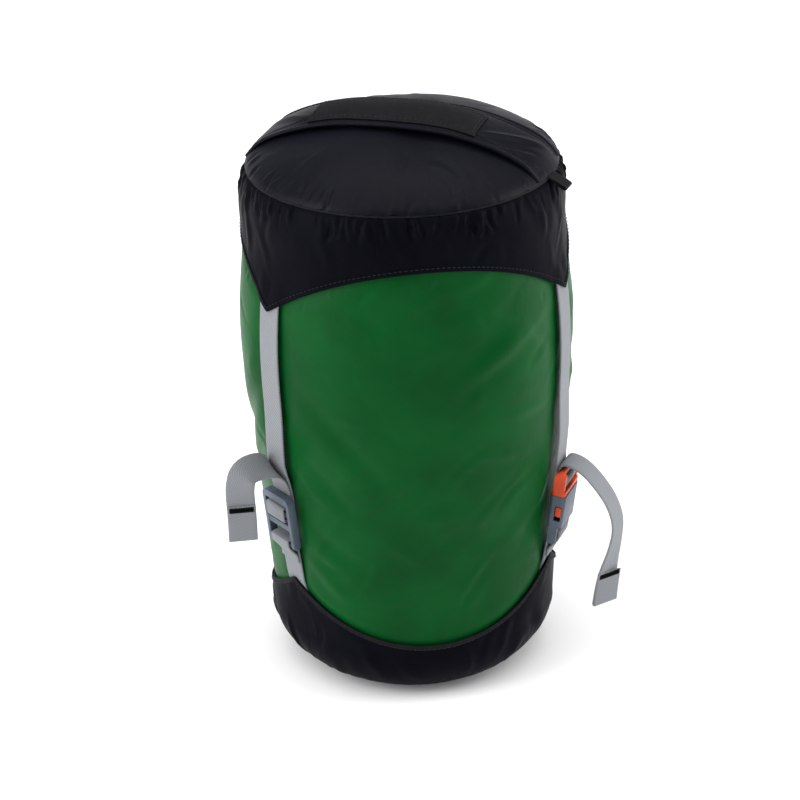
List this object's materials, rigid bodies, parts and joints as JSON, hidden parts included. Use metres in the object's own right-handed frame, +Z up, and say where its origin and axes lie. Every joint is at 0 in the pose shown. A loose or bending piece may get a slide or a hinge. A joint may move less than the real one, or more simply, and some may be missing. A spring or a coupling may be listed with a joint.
{
  "type": "compression sack",
  "caption": "Round stuffed compression sack with a strap-tensioned lid, scalloped base, drawcord mouth, webbing grab handle, ladder lock and side-release buckles.",
  "frame": {"origin": "centre of the flat foot, on the surface the sack stands on", "axes": "+Z up along the sack's axis, -Y through the middle of the front panel, between the two front straps"},
  "size_m": [0.2048, 0.2022, 0.3103],
  "materials": {
    "black_nylon": "plain-woven black coated nylon with a soft sheen",
    "green_nylon": "silky green coated nylon",
    "binding": "narrow black woven binding tape",
    "webbing": "light grey twill webbing",
    "cord": "braided black cord",
    "buckle_grey": "moulded blue-grey acetal",
    "buckle_orange": "moulded orange acetal",
    "lock_plastic": "moulded black acetal",
    "spring_steel": "bright spring wire",
    "eyelet_metal": "black enamelled eyelets",
    "stitching": "black thread",
    "patch": "black woven patch, bare"
  },
  "bodies": {
    "sack": {"base_disc": "black_nylon", "base_side": "black_nylon", "base_seam_tape": "binding", "base_hem": "binding", "body_panel_front": "green_nylon", "body_panel_right": "green_nylon", "body_panel_left": "green_nylon", "seam_tapes": "binding", "lower_strap_front_left": "webbing", "lower_strap_front_right": "webbing", "lower_strap_rear": "webbing", "socket_front_right": "buckle_grey", "socket_rear": "buckle_grey"},
    "ladder_buckle": {"ladder_lock": "buckle_grey", "strap_tail_front_left": "webbing", "tail_stitch_front_left": "stitching"},
    "mouth": {"mouth_collar": "black_nylon", "mouth_hem": "black_nylon", "eyelets": "eyelet_metal", "drawcord": "cord", "cord_lock_body": "lock_plastic", "cord_lock_spring": "spring_steel"},
    "lock_button": {"cord_lock_button": "lock_plastic"},
    "lid": {"lid_disc": "black_nylon", "lid_side": "black_nylon", "lid_hem": "binding", "lid_rim_tape": "binding", "grab_handle": "black_nylon", "label_patch": "patch", "size_tag": "black_nylon", "upper_strap_front_left": "webbing", "upper_strap_front_right": "webbing", "upper_strap_rear": "webbing"},
    "plug_end_front_right": {"plug_front_right": "buckle_orange", "strap_tail_front_right": "webbing", "tail_stitch_front_right": "stitching"},
    "arm_front_right_a": {"latch_arm_front_right_a": "buckle_orange"},
    "arm_front_right_b": {"latch_arm_front_right_b": "buckle_orange"},
    "plug_end_rear": {"plug_rear": "buckle_orange", "strap_tail_rear": "webbing", "tail_stitch_rear": "stitching"},
    "arm_rear_a": {"latch_arm_rear_a": "buckle_orange"},
    "arm_rear_b": {"latch_arm_rear_b": "buckle_orange"}
  },
  "joints": [
    {"name": "compress", "type": "slide", "parent": "sack", "child": "mouth", "axis": [0, 0, -1], "range_m": [0, 0.045], "stiffness_N_per_m": 300, "springref_m": -0.012, "deforming": ["body_panel_front", "body_panel_right", "body_panel_left", "seam_tapes", "upper_strap_front_left", "upper_strap_front_right", "upper_strap_rear"]},
    {"name": "lid_lift", "type": "slide", "parent": "mouth", "child": "lid", "axis": [0, 0, 1], "range_m": [0, 0.085], "deforming": ["latch_arm_front_right_a", "latch_arm_front_right_b", "latch_arm_rear_a", "latch_arm_rear_b"]},
    {"name": "lock_press", "type": "slide", "parent": "mouth", "child": "lock_button", "axis": [0.866, -0.5, 0], "range_m": [0, 0.003], "stiffness_N_per_m": 300, "springref_m": -0.003, "deforming": ["cord_lock_spring"]},
    {"name": "ladder_tilt", "type": "hinge", "parent": "sack", "child": "ladder_buckle", "pos_m": [-0.07304, -0.04217, 0.09], "axis": [0.5, -0.866, 0], "range_deg": [0, 30]},
    {"name": "strap_feed_front_right", "type": "slide", "parent": "lid", "child": "plug_end_front_right", "axis": [0, 0, 1], "range_m": [0, 0.045]},
    {"name": "arm_squeeze_front_right_a", "type": "hinge", "parent": "plug_end_front_right", "child": "arm_front_right_a", "pos_m": [0.07397, -0.05009, 0.10574], "axis": [0.8576, -0.4951, -0.1392], "range_deg": [0, 9], "stiffness_Nm_per_rad": 0.02, "springref_deg": -1.15},
    {"name": "arm_squeeze_front_right_b", "type": "hinge", "parent": "plug_end_front_right", "child": "arm_front_right_b", "pos_m": [0.08037, -0.03901, 0.10574], "axis": [-0.8576, 0.4951, 0.1392], "range_deg": [0, 9], "stiffness_Nm_per_rad": 0.02, "springref_deg": -1.15},
    {"name": "strap_feed_rear", "type": "slide", "parent": "lid", "child": "plug_end_rear", "axis": [0, 0, 1], "range_m": [0, 0.045]},
    {"name": "arm_squeeze_rear_a", "type": "hinge", "parent": "plug_end_rear", "child": "arm_rear_a", "pos_m": [0.0064, 0.0891, 0.10574], "axis": [0, 0.9903, -0.1392], "range_deg": [0, 9], "stiffness_Nm_per_rad": 0.02, "springref_deg": -1.15},
    {"name": "arm_squeeze_rear_b", "type": "hinge", "parent": "plug_end_rear", "child": "arm_rear_b", "pos_m": [-0.0064, 0.0891, 0.10574], "axis": [0, -0.9903, 0.1392], "range_deg": [0, 9], "stiffness_Nm_per_rad": 0.02, "springref_deg": -1.15}
  ],
  "couplings": [
    {"joint": "strap_feed_front_right", "follows": "compress", "ratio": 1},
    {"joint": "strap_feed_rear", "follows": "compress", "ratio": 1}
  ]
}
